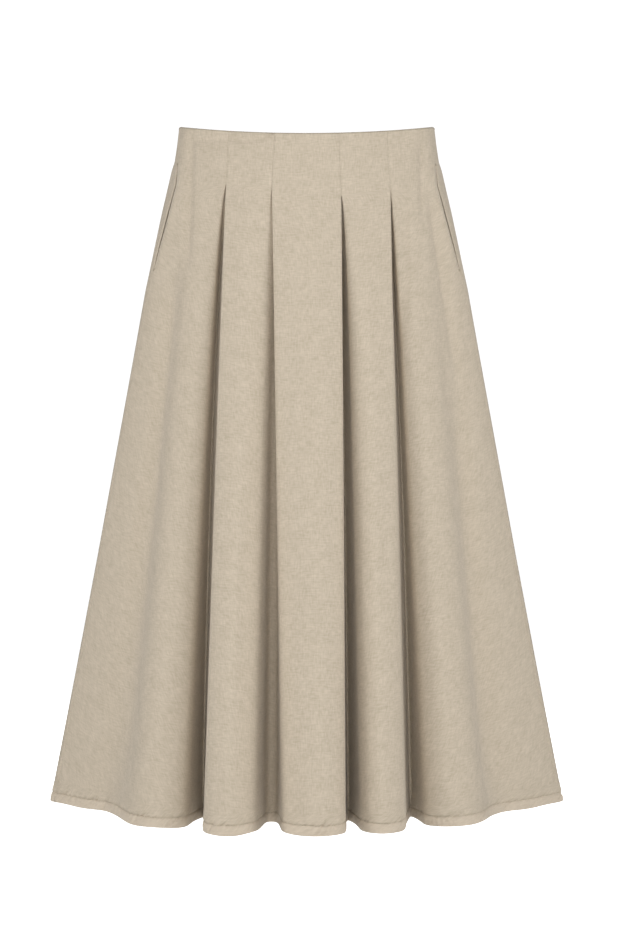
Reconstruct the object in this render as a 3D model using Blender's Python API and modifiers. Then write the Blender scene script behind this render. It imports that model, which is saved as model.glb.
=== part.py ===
# Pleated midi skirt, worn shape with no wearer. Metres, +Z up, the front faces -Y.
# The origin is the middle of the waist, level with the tops of the side seams.
# Left and right are the wearer's: left is +X. A drop is a height below the origin, and a
# depth is a distance from the plane of the side seams, forwards or, at the back, backwards.
from collections import namedtuple

import bmesh
import bpy
import numpy as np
from mathutils import Matrix, Vector

# Driving dimensions
HEM_DROP = 0.810
WAIST_FRONT_DEPTH = 0.085
WAIST_BACK_DEPTH = 0.080
WAIST_DIP = 0.0203  # the waist edge is this much lower at the centre front
TIP_DROP = 0.085  # usual lower end of the pleat stitching
TIP_FRONT_DEPTH = 0.097
TIP_BACK_DEPTH = 0.098
PLEAT_UNDERLAY = 0.018  # width folded under at each stitched pleat
WALL = 0.0011
LAYER_PITCH = 0.0022  # centre to centre of the layers of a stitched pleat
HEM_WALL = 0.0021
HEM_FOLD = 0.011
SEAM_GAP = 0.0003
SHOULDER_MOVE = 0.002  # how far beside its seam a pleat's lower side bends
WAIST_DIP_POWER = 1.4
WIDEST_DEPTH = (-0.014, -0.028)  # the widest line's, at the waist and at the hem

# Side outline from the front, a row for each section: silhouette, and where the side seam is
Side = namedtuple("Side", "drop half_width seam_x seam_depth")
SIDES = (
    Side(0.000, 0.1526, 0.1512, 0.007),
    Side(0.026, 0.1564, 0.1526, 0.015),
    Side(0.040, 0.1587, 0.1531, 0.020),
    Side(0.050, 0.1622, 0.1537, 0.025),
    Side(0.074, 0.1680, 0.1558, 0.031),
    Side(0.101, 0.1740, 0.1634, 0.031),
    Side(0.147, 0.1833, 0.1759, 0.026),
    Side(0.195, 0.1927, 0.1874, 0.019),
    Side(0.268, 0.2044, 0.2021, 0.012),
    Side(0.364, 0.2212, 0.2202, 0.007),
    Side(0.510, 0.2478, 0.2466, 0.001),
    Side(0.655, 0.2750, 0.2737, -0.004),
    Side(0.810, 0.3052, 0.3032, -0.008),
)

# A stitched-down pleat. Above tip_drop it is a flat fold of three layers along the seam line.
# Below, it opens into the hem section: a lip on the upper side, a floor with a far and a near
# corner, and the shoulder of the lower side. Spread and sink are the powers of the share of the
# way at which it opens across and its floor goes back. Swing is how far the underlay turns
# inwards soon below the tip. Rows run from the wearer's right to the left.
Fold = namedtuple(
    "Fold",
    "seam_x tip_x tip_drop lip_x lip_depth under_x under_depth"
    " far_x near_x floor_depth shoulder_x shoulder_depth spread sink swing",
)
FRONT_FOLDS = (
    Fold(
        -0.0902, -0.0932, 0.078, -0.116, 0.208, -0.113, 0.150,
        -0.116, -0.123, 0.102, -0.137, 0.174, 0.68, 1.5, 0.016,
    ),
    Fold(
        -0.0368, -0.0401, 0.085, -0.027, 0.203, -0.029, 0.165,
        -0.033, -0.046, 0.134, -0.056, 0.200, 0.68, 1.0, 0.004,
    ),
    Fold(
        0.0374, 0.0395, 0.093, 0.044, 0.208, 0.043, 0.165,
        0.043, 0.052, 0.122, 0.062, 0.196, 0.56, 1.5, 0.018,
    ),
    Fold(
        0.0931, 0.0972, 0.084, 0.109, 0.192, 0.112, 0.150,
        0.116, 0.124, 0.099, 0.136, 0.160, 0.85, 1.5, 0.018,
    ),
)
BACK_FOLDS = (
    Fold(
        -0.0880, -0.0930, 0.096, -0.119, 0.182, -0.119, 0.142,
        -0.124, -0.134, 0.100, -0.149, 0.152, 0.70, 1.5, 0.014,
    ),
    Fold(
        -0.0420, -0.0450, 0.102, -0.046, 0.200, -0.046, 0.160,
        -0.048, -0.057, 0.122, -0.066, 0.184, 0.66, 1.4, 0.012,
    ),
    Fold(
        0.0430, 0.0460, 0.104, 0.051, 0.196, 0.050, 0.158,
        0.053, 0.063, 0.118, 0.072, 0.180, 0.74, 1.4, 0.010,
    ),
    Fold(
        0.0890, 0.0940, 0.097, 0.122, 0.176, 0.122, 0.138,
        0.129, 0.140, 0.096, 0.154, 0.148, 0.64, 1.5, 0.016,
    ),
)

# Lines between the pleats that the cloth rounds over, from the waist to the hem
Crest = namedtuple("Crest", "waist_x tip_x hem_x hem_depth")
FRONT_CRESTS = (
    (
        Crest(-0.145, -0.150, -0.262, 0.040),
        Crest(-0.136, -0.141, -0.226, 0.066),
        Crest(-0.124, -0.129, -0.205, 0.140),
        Crest(-0.109, -0.114, -0.177, 0.173),
    ),
    (Crest(-0.066, -0.067, -0.084, 0.230),),
    (Crest(-0.013, -0.013, -0.006, 0.222), Crest(0.013, 0.013, 0.022, 0.229)),
    (Crest(0.066, 0.068, 0.084, 0.216),),
    (
        Crest(0.110, 0.117, 0.165, 0.169),
        Crest(0.124, 0.131, 0.202, 0.135),
        Crest(0.136, 0.142, 0.216, 0.075),
        Crest(0.145, 0.151, 0.262, 0.042),
    ),
)
BACK_CRESTS = (
    (
        Crest(-0.143, -0.156, -0.268, 0.052),
        Crest(-0.130, -0.140, -0.228, 0.074),
        Crest(-0.112, -0.120, -0.190, 0.150),
    ),
    (Crest(-0.065, -0.068, -0.086, 0.204),),
    (Crest(-0.014, -0.014, -0.020, 0.212), Crest(0.014, 0.014, 0.022, 0.210)),
    (Crest(0.066, 0.069, 0.091, 0.198),),
    (
        Crest(0.112, 0.120, 0.192, 0.146),
        Crest(0.130, 0.140, 0.226, 0.078),
        Crest(0.143, 0.156, 0.268, 0.048),
    ),
)

# How a corner of a fold moves from the stitching to the hem: its power across as a share of the
# fold's spread, its power in depth as a number and a share of the fold's sink, its layer in the
# stitched fold, the reach of its bend in the hem, and its part of the swing.
Corner = namedtuple("Corner", "across depth by_sink layer bend swing")
SHOULDER = Corner(1.00, 1.2, 0.0, 2, 0.045, 0.0)
NEAR_FLOOR = Corner(0.40, 0.0, 1.0, 2, 0.045, 1.0)
FAR_FLOOR = Corner(0.40, 0.0, 1.0, 1, 0.045, 1.0)
UNDER_LIP = Corner(1.25, 1.0, 0.0, 1, 0.045, 0.3)
LIP = Corner(1.32, 1.0, 0.0, 0, 0.030, 0.0)
CREST = Corner(1.0, 1.0, 0.0, 0, 1.0, 0.0)
CREST_FOLD = Fold(*(0.0,) * 12, spread=1.0, sink=1.0, swing=0.0)
SWING_PEAK = 0.16  # share of the open length at which an underlay points inwards most

# Sections: the share of the stitched length, then the share of the open length
STITCHED_SHARES = (0.0, 0.35, 0.57, 0.8, 1.0)
OPEN_SHARES = (0.03, 0.07, 0.12, 0.18, 0.25, 0.33, 0.42, 0.52, 0.63, 0.75, 0.87)
HEM_SHARES = tuple(1 - HEM_FOLD * part / (HEM_DROP - TIP_DROP) for part in (1.0, 0.9, 0.0))
SECTION_SHARES = [(a, 0.0) for a in STITCHED_SHARES] + [(1.0, s) for s in OPEN_SHARES + HEM_SHARES]
BEND_SAMPLES = (0.25, 0.75)  # where each rounded corner is sampled
BEND_MIDDLE = (0.75, 0.125)  # what a corner and its two neighbours give to its bend's middle
SETTLING_ROUNDS = 4

# Pocket, in the side seam
POCKET_TOP = 0.048
POCKET_END = 0.172
POCKET_GAPE = 0.0020
BUMP_POWER = 0.7  # below 1, so that the opening gapes along most of its length
BAG_PITCH = 0.0016
BAG_UNDER_PANEL = 0.0018
BAG_START = 0.0036  # along the front panel from its edge, and where the bag leaves the panel
BAG_LEAVES = 0.010
BAG_BEHIND = 0.0022  # how far the back bag runs under the back panel
NORMAL_REACH = 0.002  # how far to each side a section's direction is measured
BagSection = namedtuple("BagSection", "drop middle_x middle_depth end_x end_depth")
BAG_SECTIONS = (
    BagSection(0.044, 0.132, 0.040, 0.084, 0.063),
    BagSection(0.085, 0.134, 0.042, 0.083, 0.067),
    BagSection(0.150, 0.140, 0.043, 0.084, 0.066),
    BagSection(0.215, 0.146, 0.044, 0.088, 0.066),
    BagSection(0.262, 0.150, 0.044, 0.096, 0.065),
    BagSection(0.286, 0.158, 0.042, 0.108, 0.062),
)

# Concealed zip in the centre back seam
ZIP_END = 0.205
ZIP_TOP_GAP = 0.0026  # the edges part at the waist, where the slider's neck passes
ZIP_GAP_END = 0.030
TAPE_WIDTH = 0.0115
TAPE_WALL = 0.0010
TAPE_DROPS = (0.004, 0.018, 0.030, 0.050, 0.075, 0.100, 0.125, 0.165, ZIP_END)

# Zip slider and pull tab. A pair of half sizes is across the seam, then along it
SLIDER_DROP = 0.0095
SLIDER_HALF = (0.0030, 0.0045)
SLIDER_BODY = 0.0023
NECK_HALF = (0.0004, 0.0022)
HEAD_HALF = (0.0020, 0.0030)
HEAD_TOP = 0.0011  # out from the cloth, as is the pin
PIN_OUT = 0.0030
PIN_RADIUS = 0.00055
PIN_CLEARANCE = 0.00035
LUG_HALF = (0.0003, 0.0012)
LUG_X = 0.00175
EYE_WALL = 0.0006
TAB_LENGTH = 0.0220
TAB_WIDTH = 0.0050
TAB_SHOULDER = 0.0045
TAB_WALL = 0.0010
TAB_SLOT = (0.0010, 0.0035)
TAB_LEAN = np.radians(5.0)

LINEN = (0.56, 0.49, 0.36, 1.0)
POCKETING = (0.60, 0.54, 0.42, 1.0)
ZIP_TAPE = (0.50, 0.43, 0.31, 1.0)
ZIP_METAL = (0.47, 0.40, 0.29, 1.0)


def ease(share, exponent):
    return np.power(np.clip(share, 0.0, 1.0), exponent)


def by_drop(rows, column, drop):
    """A table's column read at any drop, straight between rows."""
    return np.interp(drop, [r.drop for r in rows], [getattr(r, column) for r in rows])


def body_depth(drop, front):
    """Depth of the plain waist section at its middle, front or back."""
    waist = WAIST_FRONT_DEPTH if front else WAIST_BACK_DEPTH
    tip = TIP_FRONT_DEPTH if front else TIP_BACK_DEPTH
    return waist + (tip - waist) * drop / TIP_DROP


def on_body(x, drop, front, layer=0.0):
    """A point of the elliptical waist section, moved inwards along its normal by a layer."""
    half_width = by_drop(SIDES, "half_width", drop)
    depth = body_depth(drop, front)
    d = depth * np.sqrt(np.clip(1 - (x / half_width) ** 2, 0.0, 1.0))
    normal = np.array([x / half_width**2, d / depth**2])
    inwards = layer * LAYER_PITCH / np.linalg.norm(normal, axis=0)
    return x - normal[0] * inwards, d - normal[1] * inwards


def waist_drop(depth, front):
    """The waist edge sinks towards the centre front and is level at the back."""
    if not front:
        return 0.0
    return WAIST_DIP * (max(depth, 0.0) / WAIST_FRONT_DEPTH) ** WAIST_DIP_POWER


def side_drop(stitched, opened):
    """How far down the side seam a share of the stitched and of the open length is."""
    return TIP_DROP * stitched + (HEM_DROP - TIP_DROP) * opened


class Line:
    """A line down the skirt where the cloth bends: a corner of every section."""

    def __init__(self, front, waist_x, tip_x, tip_drop, hem, kind=CREST, fold=CREST_FOLD):
        self.front, self.hem, self.kind, self.fold = front, hem, kind, fold
        self.waist_x, self.tip_x, self.tip_drop = waist_x, tip_x, tip_drop
        self.top = waist_drop(on_body(waist_x, 0.0, front)[1], front)

    def at(self, stitched, opened):
        """(x, y, z, bend reach) at a share of the stitched length and of the open length."""
        kind, fold = self.kind, self.fold
        upper = self.top + (self.tip_drop - self.top) * stitched
        drop = upper + (HEM_DROP - self.tip_drop) * opened
        seam_x = self.waist_x + (self.tip_x - self.waist_x) * stitched
        x, depth = on_body(seam_x, upper, self.front, kind.layer)
        x = x + (self.hem[0] - x) * ease(opened, kind.across * fold.spread)
        depth = depth + (self.hem[1] - depth) * ease(opened, kind.depth + kind.by_sink * fold.sink)
        past = opened / SWING_PEAK
        depth = depth - kind.swing * fold.swing * past * np.exp(1 - past)
        reach = max(LAYER_PITCH / 2, kind.bend * opened) if kind is not CREST else CREST.bend
        return x, -depth if self.front else depth, -drop, reach


class SideLine:
    """The side seam's line, or the widest line just behind it."""

    def __init__(self, sign, seam):
        self.sign, self.seam, self.tip_drop, self.top = sign, seam, TIP_DROP, 0.0

    def at(self, stitched, opened):
        drop = side_drop(stitched, opened)
        if self.seam:
            x, depth = by_drop(SIDES, "seam_x", drop), by_drop(SIDES, "seam_depth", drop)
        else:
            waist, hem = WIDEST_DEPTH
            x, depth = by_drop(SIDES, "half_width", drop), waist + (hem - waist) * opened
        return self.sign * x, -depth, -drop, 1.0


def fold_lines(fold, front):
    """A pleat's five corners, from the shoulder of the lower side to the lip of the upper."""
    lower = -np.sign(fold.seam_x)  # the way that the underlay lies, towards the centre
    floor = fold.floor_depth
    places = (
        (-lower * SHOULDER_MOVE, (fold.shoulder_x, fold.shoulder_depth), SHOULDER),
        (lower * PLEAT_UNDERLAY, (fold.near_x, floor), NEAR_FLOOR),
        (lower * PLEAT_UNDERLAY, (fold.far_x, floor), FAR_FLOOR),
        (0.0, (fold.under_x, fold.under_depth), UNDER_LIP),
        (0.0, (fold.lip_x, fold.lip_depth), LIP),
    )
    return [
        Line(front, fold.seam_x + move, fold.tip_x + move, fold.tip_drop, hem, kind, fold)
        for move, hem, kind in places
    ]


def crest_lines(crests, beside, front):
    """The lines between two pleats, which start as low as the pleats beside them do."""
    tip_drop = sum(fold.tip_drop for fold in beside) / len(beside)
    return [Line(front, c.waist_x, c.tip_x, tip_drop, (c.hem_x, c.hem_depth)) for c in crests]


def half_lines(folds, crests, front):
    """Every line from the right side to the left, the side seams left out."""
    lines = crest_lines(crests[0], folds[:1], front)
    for place, fold in enumerate(folds):
        corners = fold_lines(fold, front)
        lines += corners if fold.seam_x < 0 else corners[::-1]
        lines += crest_lines(crests[place + 1], folds[place : place + 2], front)
    return lines


def skirt_lines():
    """The closed section's corners: from the centre back round by the right side and the front
    to the left side and back. Also the places of the two side seams in that list."""
    back = half_lines(BACK_FOLDS, BACK_CRESTS, False)
    centre = len(back) // 2
    right_back, left_back = back[:centre][::-1], back[centre:][::-1]
    front = half_lines(FRONT_FOLDS, FRONT_CRESTS, True)
    lines = right_back + [SideLine(-1, False), SideLine(-1, True)]
    right_seam = len(lines) - 1
    lines += front + [SideLine(1, True), SideLine(1, False)] + left_back
    left_seam = right_seam + len(front) + 1
    return lines, right_seam, left_seam


def corner_grid(lines, shares):
    """Corners (section, line, xyz) and bend radii, with the side corners set so that the
    rounded section passes through the side outline and the seam."""
    table = np.array([[line.at(*share) for line in lines] for share in shares], float)
    corners, radii = table[..., :3], table[..., 3]
    targets = corners.copy()
    own, beside = BEND_MIDDLE
    for _ in range(SETTLING_ROUNDS):  # the corners of a side pull on each other
        for seam, widest in SIDE_PLACES:
            for place, axes in ((widest, [0]), (seam, [0, 1])):
                around = corners[:, place - 1] + corners[:, (place + 1) % len(lines)]
                corners[:, place, axes] = (targets[:, place, axes] - beside * around[:, axes]) / own
    return corners, radii


def rounded(corners, radii, samples):
    """Each corner of the closed sections rounded by a quadratic curve between points on its two
    sides, at most half a side away, and sampled at the shares in samples."""
    def towards(step):
        way = np.roll(corners, step, axis=1) - corners
        length = np.linalg.norm(way, axis=2)
        reach = np.minimum(radii, length / 2)
        return corners + way * (reach / length)[..., None]

    start, end = towards(1), towards(-1)
    t = np.array(samples)[None, None, :, None]
    return (
        (1 - t) ** 2 * start[:, :, None]
        + 2 * t * (1 - t) * corners[:, :, None]
        + t**2 * end[:, :, None]
    )


def bump(value, low, high):
    """0 outside low to high, rising to 1 in the middle."""
    return np.sin(np.pi * np.clip((value - low) / (high - low), 0.0, 1.0)) ** BUMP_POWER


LINES, RIGHT_SEAM, LEFT_SEAM = skirt_lines()
SIDE_PLACES = ((RIGHT_SEAM, RIGHT_SEAM - 1), (LEFT_SEAM, LEFT_SEAM + 1))


def sections(shares, samples=BEND_SAMPLES):
    """The three panels' points, (section, point, xyz): right back, front, left back. Seams lie
    at the middle of their corner's curve, and the centre back between the first and last."""
    corners, radii = corner_grid(LINES, shares)
    curve = rounded(corners, radii, samples)
    middle = rounded(corners, radii, (0.5,))[:, :, 0]
    centre_back = (corners[:, :1] + corners[:, -1:]) / 2
    after = [i for i, t in enumerate(samples) if t > 0.5]
    before = [i for i, t in enumerate(samples) if t < 0.5]

    def run(first, last):
        return curve[:, first:last].reshape(len(shares), -1, 3)

    def seam(place):
        return middle[:, place : place + 1], curve[:, place][:, before], curve[:, place][:, after]

    right, right_before, right_after = seam(RIGHT_SEAM)
    left, left_before, left_after = seam(LEFT_SEAM)
    right_back = [centre_back, run(0, RIGHT_SEAM), right_before, right]
    front = [right, right_after, run(RIGHT_SEAM + 1, LEFT_SEAM), left_before, left]
    left_back = [left, left_after, run(LEFT_SEAM + 1, len(LINES)), centre_back]
    return [np.concatenate(parts, axis=1) for parts in (right_back, front, left_back)]


def unit(vectors):
    return vectors / np.linalg.norm(vectors, axis=-1, keepdims=True)


def beneath(panel, end, along, below):
    """The line at a distance along each section from a panel's edge, moved inwards."""
    rows, turn = (panel, 1) if end == 0 else (panel[:, ::-1], -1)
    found = []
    for row in rows:
        steps = np.linalg.norm(np.diff(row, axis=0), axis=1)
        gone = np.concatenate([[0.0], np.cumsum(steps)])
        back, here, ahead = (
            np.array([np.interp(d, gone, row[:, axis]) for axis in range(3)])
            for d in (max(along - NORMAL_REACH, 0.0), along, along + NORMAL_REACH)
        )
        way = unit(ahead - back)
        found.append(here + turn * below * np.array([-way[1], way[0], 0.0]))
    return np.array(found)


def part_edges(panel, end, gap):
    """Moves a panel's edge along its sections into the panel, by a gap for each row."""
    edge, inner = (panel[:, 0], panel[:, 1]) if end == 0 else (panel[:, -1], panel[:, -2])
    into = unit((inner - edge) * (1, 1, 0))
    panel[:, end] = edge + into * gap[:, None]


def zip_gap(drop):
    return SEAM_GAP + (ZIP_TOP_GAP - SEAM_GAP) * np.clip(1 - drop / ZIP_GAP_END, 0.0, 1.0)


def material(name, colour, roughness, metallic=0.0):
    made = bpy.data.materials.new(name)
    made.use_nodes = True
    shader = made.node_tree.nodes["Principled BSDF"]
    shader.inputs["Base Color"].default_value = colour
    shader.inputs["Roughness"].default_value = roughness
    shader.inputs["Metallic"].default_value = metallic
    return made


def cloth(name, points, wall, paint, thick_rows=0, thick_wall=None):
    """A sheet through a grid of points (row, column, xyz), given its wall by Solidify. The last
    thick_rows rows take thick_wall instead. Columns run so that the outer side faces out."""
    rows, columns = points.shape[:2]
    index = np.arange(rows * columns).reshape(rows, columns)
    faces = np.stack([index[:-1, :-1], index[1:, :-1], index[1:, 1:], index[:-1, 1:]], axis=-1)
    mesh = bpy.data.meshes.new(name)
    mesh.from_pydata(points.reshape(-1, 3).tolist(), [], faces.reshape(-1, 4).tolist())
    mesh.shade_smooth()
    mesh.materials.append(paint)
    sheet = bpy.data.objects.new(name, mesh)
    PARTS.objects.link(sheet)
    solidify = sheet.modifiers.new("Wall", "SOLIDIFY")
    solidify.offset = 0
    solidify.use_even_offset = True
    solidify.thickness = wall
    if thick_rows:
        group = sheet.vertex_groups.new(name="hem")
        group.add(index[-thick_rows:].ravel().tolist(), 1.0, "REPLACE")
        solidify.vertex_group = "hem"
        solidify.thickness = thick_wall
        solidify.thickness_vertex_group = wall / thick_wall
    return sheet


def panels(linen):
    right_back, front, left_back = sections(SECTION_SHARES)
    half_gap = np.full(len(SECTION_SHARES), SEAM_GAP / 2)
    for panel, end in ((right_back, -1), (left_back, 0)):
        part_edges(panel, end, half_gap)
    for end in (0, -1):
        drop = -front[:, end, 2]
        part_edges(front, end, half_gap + POCKET_GAPE * bump(drop, POCKET_TOP, POCKET_END))
    for panel, end in ((right_back, 0), (left_back, -1)):
        part_edges(panel, end, zip_gap(-panel[:, end, 2]) / 2)
    for name, panel in (
        ("back_panel_right", right_back),
        ("front_panel", front),
        ("back_panel_left", left_back),
    ):
        cloth(name, panel, WALL, linen, thick_rows=2, thick_wall=HEM_WALL)


def shares_at(drop):
    """Shares of the stitched and the open length at a drop of the side seam."""
    if drop <= TIP_DROP:
        return drop / TIP_DROP, 0.0
    return 1.0, (drop - TIP_DROP) / (HEM_DROP - TIP_DROP)


def pocket_bags(side, pocketing):
    """The two pieces of a side's pocket bag, one wall apart, which hang inside the front panel
    from the opening's edges. Each section runs from the seam, along the panel, then inwards."""
    top, bottom = BAG_SECTIONS[0].drop, BAG_SECTIONS[-1].drop
    drops = [side_drop(*share) for share in SECTION_SHARES]
    drops = np.array([top] + [drop for drop in drops if top < drop < bottom] + [bottom])
    right_back, front, left_back = sections([shares_at(drop) for drop in drops])
    end, back, sign = (-1, left_back, 1) if side == "left" else (0, right_back, -1)
    middle_x, middle_depth, end_x, end_depth = (
        by_drop(BAG_SECTIONS, column, drops) for column in BagSection._fields[1:]
    )
    below = BAG_UNDER_PANEL + BAG_PITCH / 2
    start = [beneath(front, end, along, below) for along in (BAG_START, BAG_LEAVES)]
    near = np.stack([sign * middle_x, -middle_depth, front[:, end, 2]], axis=1)
    far = np.stack([sign * end_x, -end_depth, front[:, end, 2]], axis=1)
    middle = np.stack(start + [(start[1] + near) / 2, near, (near + far) / 2, far], axis=1)
    way = unit(np.gradient(middle, axis=1) * (1, 1, 0))
    across = -sign * np.stack([-way[..., 1], way[..., 0], 0 * way[..., 0]], axis=-1)
    behind = beneath(back, -1 - end, BAG_BEHIND, BAG_UNDER_PANEL)[:, None]
    front_bag = middle - across * BAG_PITCH / 2
    back_bag = np.concatenate([behind, middle + across * BAG_PITCH / 2], axis=1)
    for piece, points in (("front_bag", front_bag), ("back_bag", back_bag)):
        if side == "left":
            points = points[:, ::-1]
        cloth(f"pocket_{side}_{piece}", points, WALL, pocketing)


def zip_tapes(tape):
    """The two tapes of the zip, inside the centre back seam, on the panels' own points."""
    shares = [shares_at(drop) for drop in TAPE_DROPS]
    right_back, _, left_back = sections(shares)
    below = WALL / 2 + SEAM_GAP + TAPE_WALL / 2
    for name, panel, end in (("zip_tape_right", right_back, 0), ("zip_tape_left", left_back, -1)):
        part_edges(panel, end, zip_gap(-panel[:, end, 2]) / 2)
        lines = [beneath(panel, end, along, below) for along in np.linspace(0.0, TAPE_WIDTH, 4)]
        strip = np.stack(lines, axis=1)
        cloth(name, strip if end == 0 else strip[:, ::-1], TAPE_WALL, tape)


def block(half, bottom, top, across=0.0, up=0.0):
    """A box in the slider's own axes, from half sizes and its two heights above the cloth."""
    bpy.ops.mesh.primitive_cube_add(size=1)
    box = bpy.context.object
    box.data.transform(Matrix.Diagonal((2 * half[0], top - bottom, 2 * half[1], 1.0)))
    box.data.transform(Matrix.Translation((across, (bottom + top) / 2, up)))
    return box


def rod(radius, half_length, outwards=0.0):
    """A round bar across the seam."""
    bpy.ops.mesh.primitive_cylinder_add(vertices=16, radius=radius, depth=2 * half_length)
    bar = bpy.context.object
    bar.data.transform(Matrix.Rotation(np.pi / 2, 4, "Y"))
    bar.data.transform(Matrix.Translation((0.0, outwards, 0.0)))
    return bar


def plate(outline, thickness):
    """A flat plate from an outline of (across, up) points, as a closed mesh."""
    curve = bpy.data.curves.new("outline", "CURVE")
    curve.dimensions, curve.fill_mode, curve.extrude = "2D", "BOTH", thickness / 2
    spline = curve.splines.new("POLY")
    spline.points.add(len(outline) - 1)
    for point, (across, up) in zip(spline.points, outline):
        point.co = (across, up, 0.0, 1.0)
    spline.use_cyclic_u = True
    guide = bpy.data.objects.new("outline", curve)
    bpy.context.scene.collection.objects.link(guide)
    bpy.context.view_layer.update()
    mesh = bpy.data.meshes.new_from_object(guide.evaluated_get(bpy.context.evaluated_depsgraph_get()))
    bpy.data.objects.remove(guide)
    welded = bmesh.new()
    welded.from_mesh(mesh)
    bmesh.ops.remove_doubles(welded, verts=welded.verts, dist=1e-6)
    welded.to_mesh(mesh)
    welded.free()
    mesh.transform(Matrix.Rotation(np.pi / 2, 4, "X"))
    flat = bpy.data.objects.new("plate", mesh)
    bpy.context.scene.collection.objects.link(flat)
    return flat


def combined(name, first, added, cut, place, tilt, paint):
    """One body from a first shape, those added and those cut, at its place and tilt."""
    first.name = first.data.name = name
    for operation, others in (("UNION", added), ("DIFFERENCE", cut)):
        for other in others:
            boolean = first.modifiers.new(operation.title(), "BOOLEAN")
            boolean.operation, boolean.object = operation, other
    for thing in (first, *added, *cut):
        thing.location, thing.rotation_euler = place, (tilt, 0.0, 0.0)
        for collection in list(thing.users_collection):
            collection.objects.unlink(thing)
        (PARTS if thing is first else HELPERS).objects.link(thing)
        if thing is not first:
            thing.name, thing.hide_render, thing.display_type = name + "_helper", True, "WIRE"
    first.data.materials.clear()
    first.data.materials.append(paint)


def zip_slider_and_tab(metal):
    """The slider near the top of the zip, its neck through the parted seam, and the pull tab
    that hangs on its pin and leans on the cloth."""
    stitched = SLIDER_DROP / BACK_FOLDS[1].tip_drop
    upper, here = (sections([(share, 0.0)])[0][0, 0] for share in (0.0, stitched))
    down = here - upper
    tilt = np.arctan2(down[1], -down[2])
    outwards = Vector((0.0, np.cos(tilt), np.sin(tilt)))
    seat = Vector(here) + outwards * (WALL / 2)
    inside = -(WALL + SEAM_GAP + TAPE_WALL + SEAM_GAP)
    body = block(SLIDER_HALF, inside - SLIDER_BODY, inside)
    fused = 0.0004  # how far one shape of the slider runs into the next
    neck = block(NECK_HALF, inside - fused, SEAM_GAP + fused)
    head = block(HEAD_HALF, SEAM_GAP, HEAD_TOP)
    lug_top = PIN_OUT + PIN_RADIUS + PIN_CLEARANCE
    lugs = [block(LUG_HALF, HEAD_TOP - fused, lug_top, across) for across in (-LUG_X, LUG_X)]
    pin = rod(PIN_RADIUS, LUG_X, PIN_OUT)
    combined("zip_slider", body, [neck, head, *lugs, pin], [], seat, tilt, metal)

    half = TAB_WIDTH / 2
    angles = np.linspace(0.0, -np.pi, 9)
    rounded_end = [(half * np.cos(a), half * (1 + np.sin(a)) - TAB_LENGTH) for a in angles]
    narrow = LUG_X - LUG_HALF[0] - PIN_CLEARANCE
    top = [(-narrow, -TAB_SHOULDER), (-narrow, 0.0), (narrow, 0.0), (narrow, -TAB_SHOULDER)]
    tab = plate(rounded_end + top, TAB_WALL)
    hole_radius = PIN_RADIUS + PIN_CLEARANCE
    eye = rod(hole_radius + EYE_WALL, narrow)
    hole = rod(hole_radius, LUG_X)
    slot = block(TAB_SLOT, -TAB_WALL, TAB_WALL, up=half + TAB_SLOT[1] - TAB_LENGTH)
    pin_centre = seat + outwards * PIN_OUT
    combined("zip_pull_tab", tab, [eye], [hole, slot], pin_centre, tilt - TAB_LEAN, metal)


def main():
    linen = material("linen", LINEN, 0.92)
    pocketing = material("pocketing", POCKETING, 0.9)
    tape = material("zip_tape", ZIP_TAPE, 0.85)
    panels(linen)
    for side in ("left", "right"):
        pocket_bags(side, pocketing)
    zip_tapes(tape)
    zip_slider_and_tab(material("zip_metal", ZIP_METAL, 0.45, 0.6))


for thing in list(bpy.data.objects):
    bpy.data.objects.remove(thing, do_unlink=True)
PARTS = bpy.data.collections.new("PleatedMidiSkirt")
HELPERS = bpy.data.collections.new("Helpers")
bpy.context.scene.collection.children.link(PARTS)
bpy.context.scene.collection.children.link(HELPERS)
main()
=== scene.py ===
import bpy
import numpy as np
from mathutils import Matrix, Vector


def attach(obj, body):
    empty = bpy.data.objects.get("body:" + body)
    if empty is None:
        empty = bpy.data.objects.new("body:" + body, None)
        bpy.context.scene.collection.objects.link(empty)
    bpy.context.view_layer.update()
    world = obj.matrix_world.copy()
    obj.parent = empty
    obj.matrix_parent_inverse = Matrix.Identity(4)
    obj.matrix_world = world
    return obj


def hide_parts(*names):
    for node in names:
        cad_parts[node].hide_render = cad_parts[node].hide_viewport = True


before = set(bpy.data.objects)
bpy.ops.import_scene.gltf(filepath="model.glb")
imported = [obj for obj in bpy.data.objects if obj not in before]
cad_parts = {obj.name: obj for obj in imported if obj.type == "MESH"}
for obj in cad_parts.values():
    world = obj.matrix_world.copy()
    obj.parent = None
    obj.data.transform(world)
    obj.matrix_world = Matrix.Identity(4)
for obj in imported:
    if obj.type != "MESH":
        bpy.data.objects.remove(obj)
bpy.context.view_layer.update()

print("frame loaded:", len(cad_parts), "nodes")

camera = dict(place=(0.0045, -2.504, -0.405), focalPixels=2087.0, imageHeight=931, sensor=36.0)


def placeCamera():
    # level and square to the front, a little to the wearer's left, at half the skirt's height
    data = bpy.data.cameras.new("camera")
    data.sensor_width = camera["sensor"]
    data.lens = camera["focalPixels"] / camera["imageHeight"] * camera["sensor"]
    made = bpy.data.objects.new("camera", data)
    bpy.context.scene.collection.objects.link(made)
    made.location = camera["place"]
    made.rotation_euler = (np.pi / 2, 0, 0)
    bpy.context.scene.camera = made


placeCamera()


def table(names, *rows):
    # rows of numbers under named columns, as one array for each name
    return dict(zip(names.split(), np.array(rows, float).T))


def unit(v):
    return v / np.maximum(np.linalg.norm(v, axis=-1, keepdims=True), 1e-12)


def smooth(t):
    t = np.clip(t, 0, 1)
    return t * t * (3 - 2 * t)


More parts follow.
